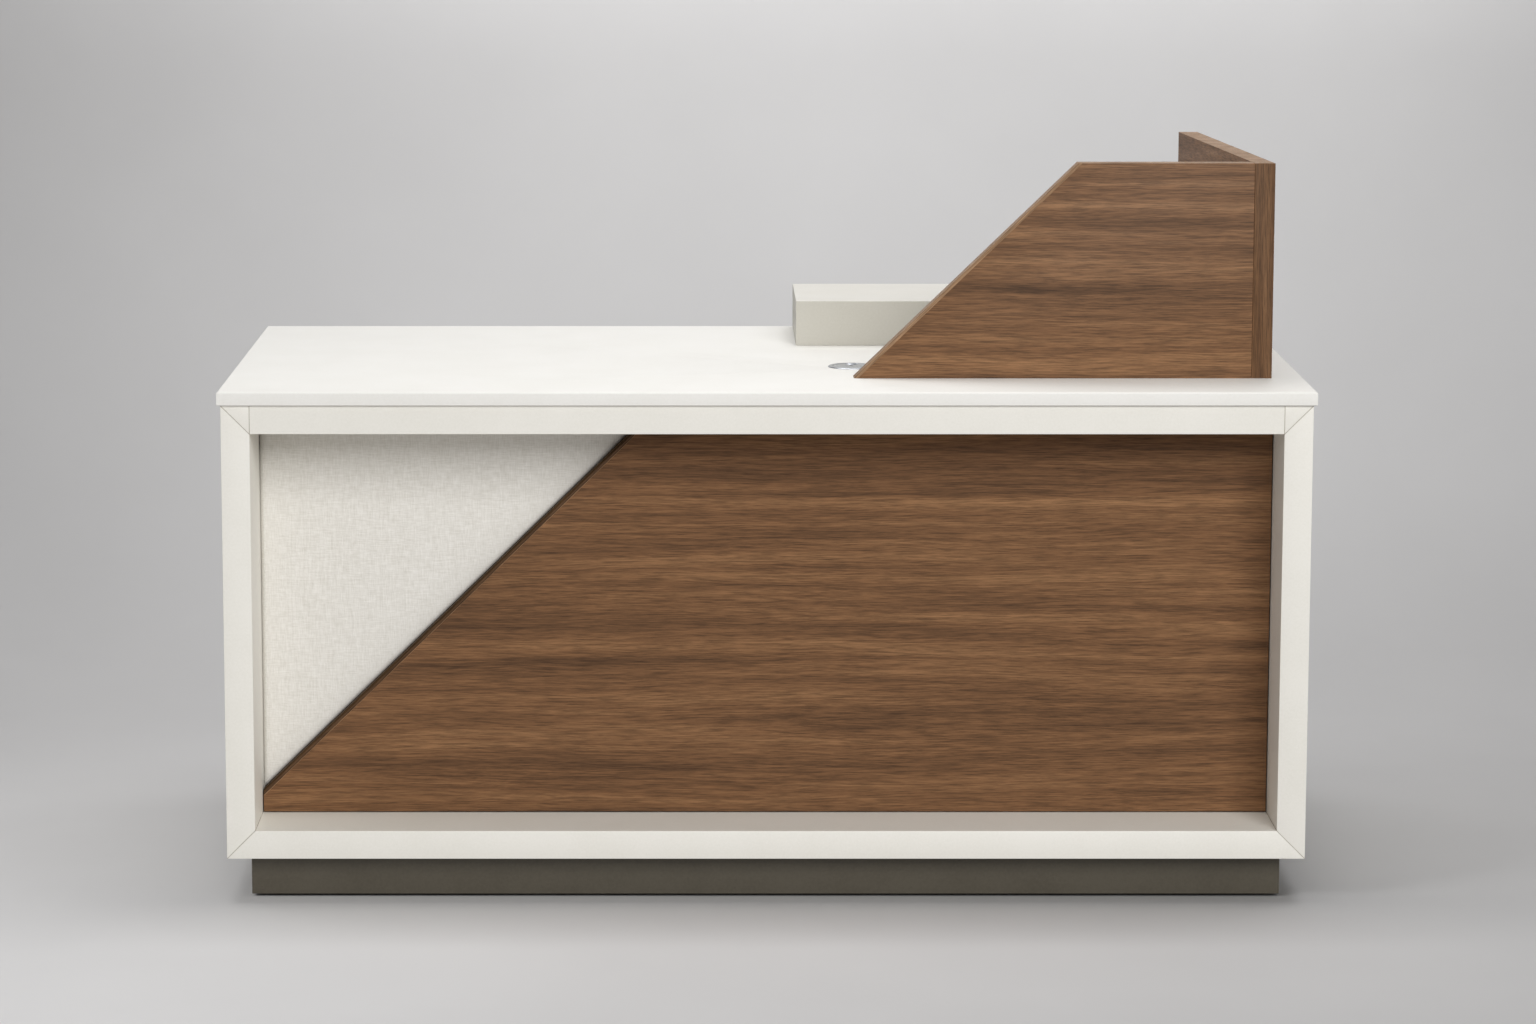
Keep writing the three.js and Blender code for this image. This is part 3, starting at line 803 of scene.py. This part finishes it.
bmesh.ops.contextual_create(work, geom=[edge for edge in work.edges if edge.is_boundary])
bmesh.ops.recalc_face_normals(work, faces=work.faces)
for face in work.faces:
    face.smooth = len(face.verts) == 3
cloth_mesh = bpy.data.meshes.new("cloth_panel")
work.to_mesh(cloth_mesh)
work.free()
cloth_panel = new_piece("cloth_panel", cloth_mesh, linen)
place_piece(cloth_panel, "carcass", "linen", "fabric_panel")
print("cloth panel:", len(cloth_mesh.polygons), "faces")

# %% [markdown]
# ## Grommet, feet and steelwork
# The turned and folded fittings keep their CAD shape. Their edges get a fine easing, so that they
# glint, and their finish comes from the materials above.

# %% Fittings
GROMMET_ARRIS_MM = 0.25
FITTING_ARRIS_MM = 0.3

dress_boards("satin_metal", GROMMET_ARRIS_MM, satin_metal)
dress_boards("dark_plastic", FITTING_ARRIS_MM, dark_plastic)
dress_boards("black_steel", FITTING_ARRIS_MM, black_steel)

# %% [markdown]
# ## Where the screws go
# Every bracket is held by four pan-head screws, two in each leg, and the tray and the stiffener
# have a row each. The brackets' boxes in the frame say where they are, so the places are worked
# out from them. The return leans, and so do the brackets behind it.

# %% Screw places
HOLE_INSET = 10 * MM
STEEL = 3 * MM
TRAY_SHEET = 1.5 * MM
TRAY_SCREWS = 5
STIFFENER_SCREWS = 6
UP, RIGHT, BACK = Vector((0, 0, 1)), Vector((1, 0, 0)), Vector((0, 1, 0))
screw_points = []


def add_screw(place, facing):
    """Notes a screw head's place and the way it faces."""
    screw_points.append((Vector(place), Vector(facing).normalized()))


def bracket_screws(corner, along, flat, upright, flat_leg, upright_leg):
    """Two screws in each leg of an angle, given its inner corner and the way its legs run."""
    for side in (-HOLE_INSET, HOLE_INSET):
        add_screw(corner + along * side + flat * (flat_leg - HOLE_INSET) + upright * STEEL, upright)
        add_screw(corner + along * side + upright * (upright_leg - HOLE_INSET) + flat * STEEL, flat)


def screw_row(low, high, count, y, z, facing):
    """A row of evenly spaced screws along X, between a piece's ends."""
    for k in range(count):
        add_screw((low.x + (k + 0.5) * (high.x - low.x) / count, y, z), facing)


return_low, return_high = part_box("screen_return")
panel_low, panel_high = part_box("screen_front_panel")
angle_low, angle_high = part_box("screen_bracket_left")
panel_thickness = panel_high.y - panel_low.y
angle_leg = angle_high.y - angle_low.y
lean = math.atan((return_high.x - return_low.x - panel_thickness) / (return_high.y - return_low.y))

for name in [name for name in nodes if "_bracket_" in name]:
    low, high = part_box(name)
    middle = (low + high) / 2
    if name.startswith("worktop"):
        side = 1 if middle.x > 0 else -1
        corner = Vector((high.x if side > 0 else low.x, middle.y, high.z))
        bracket_screws(corner, BACK, RIGHT * -side, -UP, high.z - low.z, high.z - low.z)
    elif name.startswith("screen"):
        corner = Vector((middle.x, low.y, low.z))
        bracket_screws(corner, RIGHT, BACK, UP, high.y - low.y, high.z - low.z)
    else:
        turn = Matrix.Rotation(lean, 3, "Z")
        flat, along = turn @ -RIGHT, turn @ BACK
        half_width = (high.y - low.y - angle_leg * math.sin(lean)) / 2 / math.cos(lean)
        corner = Vector((high.x, high.y, low.z)) - along * half_width
        corner.x = high.x - half_width * math.sin(lean)
        bracket_screws(corner, along, flat, UP, angle_leg, high.z - low.z)

tray_low, tray_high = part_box("cable_tray")
screw_row(tray_low, tray_high, TRAY_SCREWS, tray_low.y + TRAY_SHEET, tray_high.z - HOLE_INSET, BACK)
stiff_low, stiff_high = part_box("rear_stiffener")
screw_row(stiff_low, stiff_high, STIFFENER_SCREWS, stiff_low.y + 2 * HOLE_INSET, stiff_high.z - STEEL, -UP)
print("screws:", len(screw_points))

# %% [markdown]
# ## A screw head, by Geometry Nodes
# A screw is the same shape everywhere, so one node tree draws a head once and places it on a
# cloud of points. Each point carries the direction in which its screw faces. The head is a cone
# cut short, its top face is drawn in and then pushed down to make the driver's recess.

# %% The screw tree
HEAD_SIDES = 18
HEAD_TOP_SHARE = 0.68
RECESS_SHARE = 0.55
RECESS_DEPTH_SHARE = 0.6

screw_tree = bpy.data.node_groups.new("screw_heads", "GeometryNodeTree")
sockets = screw_tree.interface
sockets.new_socket("Geometry", in_out="INPUT", socket_type="NodeSocketGeometry")
radius_in = sockets.new_socket("Head Radius", in_out="INPUT", socket_type="NodeSocketFloat")
height_in = sockets.new_socket("Head Height", in_out="INPUT", socket_type="NodeSocketFloat")
sockets.new_socket("Geometry", in_out="OUTPUT", socket_type="NodeSocketGeometry")

group_in = node(screw_tree, "NodeGroupInput")
top_radius = node(
    screw_tree,
    "ShaderNodeMath",
    {0: group_in.outputs["Head Radius"], 1: HEAD_TOP_SHARE},
    operation="MULTIPLY",
)
head = node(
    screw_tree,
    "GeometryNodeMeshCone",
    {
        "Vertices": HEAD_SIDES,
        "Radius Top": top_radius.outputs[0],
        "Radius Bottom": group_in.outputs["Head Radius"],
        "Depth": group_in.outputs["Head Height"],
    },
)
rim_face = node(
    screw_tree,
    "GeometryNodeExtrudeMesh",
    {"Mesh": head.outputs["Mesh"], "Selection": head.outputs["Top"], "Offset Scale": 0.0},
)
drawn_in = node(
    screw_tree,
    "GeometryNodeScaleElements",
    {"Geometry": rim_face.outputs["Mesh"], "Selection": rim_face.outputs["Top"], "Scale": RECESS_SHARE},
)
sunk = node(
    screw_tree,
    "ShaderNodeMath",
    {0: group_in.outputs["Head Height"], 1: -RECESS_DEPTH_SHARE},
    operation="MULTIPLY",
)
recess = node(
    screw_tree,
    "GeometryNodeExtrudeMesh",
    {
        "Mesh": drawn_in.outputs["Geometry"],
        "Selection": rim_face.outputs["Top"],
        "Offset Scale": sunk.outputs[0],
    },
)
facing = node(screw_tree, "GeometryNodeInputNamedAttribute", {"Name": "facing"}, data_type="FLOAT_VECTOR")
aligned = node(
    screw_tree,
    "FunctionNodeAlignRotationToVector",
    {"Vector": facing.outputs["Attribute"]},
    axis="Z",
)
placed = node(
    screw_tree,
    "GeometryNodeInstanceOnPoints",
    {
        "Points": group_in.outputs["Geometry"],
        "Instance": recess.outputs["Mesh"],
        "Rotation": aligned.outputs["Rotation"],
    },
)
realized = node(screw_tree, "GeometryNodeRealizeInstances", {"Geometry": placed.outputs["Instances"]})
coated = node(
    screw_tree,
    "GeometryNodeSetMaterial",
    {"Geometry": realized.outputs["Geometry"], "Material": zinc_screw},
)
node(screw_tree, "NodeGroupOutput", {"Geometry": coated.outputs["Geometry"]})
print("screw tree:", len(screw_tree.nodes), "nodes")

# %% [markdown]
# ## Screws in place
# A mesh of single points carries the tree as a modifier. Its two sizes are set by their sockets'
# identifiers, and the result becomes one plain mesh on the carcass, which none of the screws
# ever leaves.

# %% Screws
HEAD_RADIUS = 4.2 * MM
HEAD_HEIGHT = 2.2 * MM

cloud = bpy.data.meshes.new("screw_points")
cloud.from_pydata([place for place, _ in screw_points], [], [])
directions = cloud.attributes.new("facing", "FLOAT_VECTOR", "POINT")
for item, (_, direction) in zip(directions.data, screw_points):
    item.vector = direction
screws = bpy.data.objects.new("bracket_screws", cloud)
bpy.context.collection.objects.link(screws)
screw_modifier = screws.modifiers.new("heads", "NODES")
screw_modifier.node_group = screw_tree
screw_modifier[radius_in.identifier] = HEAD_RADIUS
screw_modifier[height_in.identifier] = HEAD_HEIGHT
bake_modifiers(screws)
place_piece(screws, "carcass", "satin_metal")
print("screws:", len(screws.data.polygons), "faces")

# %% [markdown]
# ## Studio paper
# The desk stands on a roll of pale grey paper that curves up behind it, so no line shows where
# floor and wall meet. The paper is drawn on its front only: seen from behind or below it is
# clear, so that it never hides the desk from a camera that stands at the back.

# %% Paper
PAPER_CLOUD_MM = 700
PAPER_DEEP, PAPER_LIGHT = 0.3, 0.7

# Matt paper: a soft, even grey with hardly any shine.
paper, paper_tree, paper_shader, paper_place = start_material("pale_grey_paper")
paper_cloud = node(
    paper_tree,
    "ShaderNodeTexNoise",
    {"Vector": paper_place, "Scale": 1000 / PAPER_CLOUD_MM, "Detail": 4.0},
)
paper_tone = node(
    paper_tree,
    "ShaderNodeValToRGB",
    {"Fac": paper_cloud.outputs["Fac"]},
    stops=[(PAPER_DEEP, linear("#dcdbdb")), (PAPER_LIGHT, linear("#e2e1e1"))],
)
paper_tree.links.new(paper_tone.outputs["Color"], paper_shader.inputs["Base Color"])
paper_shader.inputs["Roughness"].default_value = 0.9
paper_shader.inputs["Specular IOR Level"].default_value = 0.1
paper_side = node(paper_tree, "ShaderNodeNewGeometry")
see_through = node(paper_tree, "ShaderNodeBsdfTransparent")
one_sided = node(
    paper_tree,
    "ShaderNodeMixShader",
    {
        "Fac": paper_side.outputs["Backfacing"],
        1: paper_shader.outputs["BSDF"],
        2: see_through.outputs["BSDF"],
    },
)
paper_tree.links.new(one_sided.outputs["Shader"], paper_tree.nodes["Material Output"].inputs["Surface"])
print("paper:", paper.name)

# %% [markdown]
# ## The sweep
# The paper's side view is a straight floor, a quarter circle and a straight wall. Two copies of
# that line, far out to the left and right, make the sheet.

# %% Paper sweep
SWEEP_HALF_WIDTH = 9.0
SWEEP_FRONT = -9.0
SWEEP_BEND_START = 0.9
SWEEP_BEND_RADIUS = 1.1
SWEEP_HEIGHT = 6.0
BEND_STEPS = 32

profile = [(SWEEP_FRONT, 0.0)]
for k in range(BEND_STEPS + 1):
    angle = math.pi / 2 * k / BEND_STEPS
    profile.append((
        SWEEP_BEND_START + SWEEP_BEND_RADIUS * math.sin(angle),
        SWEEP_BEND_RADIUS * (1 - math.cos(angle)),
    ))
profile.append((SWEEP_BEND_START + SWEEP_BEND_RADIUS, SWEEP_HEIGHT))
sweep_points = [(x, y, z) for y, z in profile for x in (-SWEEP_HALF_WIDTH, SWEEP_HALF_WIDTH)]
sweep_faces = [(2 * k, 2 * k + 1, 2 * k + 3, 2 * k + 2) for k in range(len(profile) - 1)]
sweep_mesh = bpy.data.meshes.new("paper_sweep")
sweep_mesh.from_pydata(sweep_points, [], sweep_faces)
for face in sweep_mesh.polygons:
    face.use_smooth = True
sweep = new_piece("paper_sweep", sweep_mesh, paper)
sweep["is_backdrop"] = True
print("sweep:", len(sweep_faces), "faces")

# %% [markdown]
# ## The studio's own light
# A weak, even world fills the shadows. A camera that sees past the paper should find a pale
# studio wall there, and so should a mirror or a pane of glass, so the world is stronger for those
# three kinds of ray than it is as a lamp.

# %% World
WORLD_LEVEL = 0.25
BACKGROUND_LEVEL = 0.5

world = bpy.data.worlds.new("studio_fill")
world.use_nodes = True
world_tree = world.node_tree
background = world_tree.nodes["Background"]
background.inputs["Color"].default_value = linear("#ffffff")
ray = node(world_tree, "ShaderNodeLightPath")
mirrored = node(
    world_tree,
    "ShaderNodeMath",
    {0: ray.outputs["Is Glossy Ray"], 1: ray.outputs["Is Transmission Ray"]},
    operation="MAXIMUM",
)
seen = node(
    world_tree,
    "ShaderNodeMath",
    {0: ray.outputs["Is Camera Ray"], 1: mirrored.outputs[0]},
    operation="MAXIMUM",
)
seen_level = node(
    world_tree,
    "ShaderNodeMath",
    {0: seen.outputs[0], 1: BACKGROUND_LEVEL - WORLD_LEVEL, 2: WORLD_LEVEL},
    operation="MULTIPLY_ADD",
)
world_tree.links.new(seen_level.outputs[0], background.inputs["Strength"])
bpy.context.scene.world = world
print("world:", WORLD_LEVEL, "as a lamp and", BACKGROUND_LEVEL, "as a background")

# %% [markdown]
# ## Lamps
# A photographer lights the object and its backdrop apart. Here a large soft box in front, high
# and to the right, models the fronts and lays the frame's soft shadow into the recess, and one
# overhead brightens the worktop. Neither touches the paper. Three weaker ones light only the
# paper: one from the left, one overhead that leaves the desk's shadow on the floor, and one that
# makes the backdrop glow behind the desk. Light linking says which lamp reaches the paper.

# %% Lamps
def soft_box(name, place, target, size, watts, spread_degrees=180):
    """A rectangular lamp that points at its target and isn't seen itself."""
    lamp = bpy.data.lights.new(name, "AREA")
    lamp.shape = "RECTANGLE"
    lamp.size, lamp.size_y = size
    lamp.energy = watts
    lamp.spread = math.radians(spread_degrees)
    box = bpy.data.objects.new(name, lamp)
    box.location = place
    box.rotation_euler = (Vector(target) - Vector(place)).to_track_quat("-Z", "Y").to_euler()
    bpy.context.collection.objects.link(box)
    box.visible_camera = False
    return box


def link_paper(lamp, state):
    """INCLUDE keeps a lamp to the paper, EXCLUDE keeps it off the paper."""
    receivers = bpy.data.collections.new(f"{lamp.name}_receivers")
    receivers.objects.link(sweep)
    receivers.collection_objects[0].light_linking.link_state = state
    lamp.light_linking.receiver_collection = receivers


desk_lamps = [
    soft_box("key_soft_box", place=(1.75, -6.35, 4.0), target=(0, 0, 0.5), size=(4.2, 3.6), watts=374),
    soft_box("top_soft_box", place=(-0.2, 0.8, 4.1), target=(0, 0.1, 0.7), size=(3.2, 1.8), watts=74),
]
paper_lamps = [
    soft_box(
        "floor_soft_box",
        place=(-3.2, -2.4, 2.2),
        target=(-1.3, -0.9, 0),
        size=(1.6, 1.6),
        watts=12,
        spread_degrees=80,
    ),
    soft_box(
        "front_floor_soft_box",
        place=(0.0, -0.1, 2.7),
        target=(0.0, -1.2, 0),
        size=(3.2, 0.7),
        watts=14,
        spread_degrees=100,
    ),
    soft_box("backdrop_soft_box", place=(0.3, 1.1, 2.1), target=(0.3, 2.0, 1.3), size=(3.0, 0.4), watts=25),
]
for lamp in desk_lamps:
    link_paper(lamp, "EXCLUDE")
for lamp in paper_lamps:
    link_paper(lamp, "INCLUDE")
print("lamps:", [lamp.name for lamp in desk_lamps + paper_lamps])

# %% [markdown]
# The dressed desk has to stay inside the CAD box.

# %% Sizes
low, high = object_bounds()
print("visual box", [round(v, 4) for v in (*low, *high)])
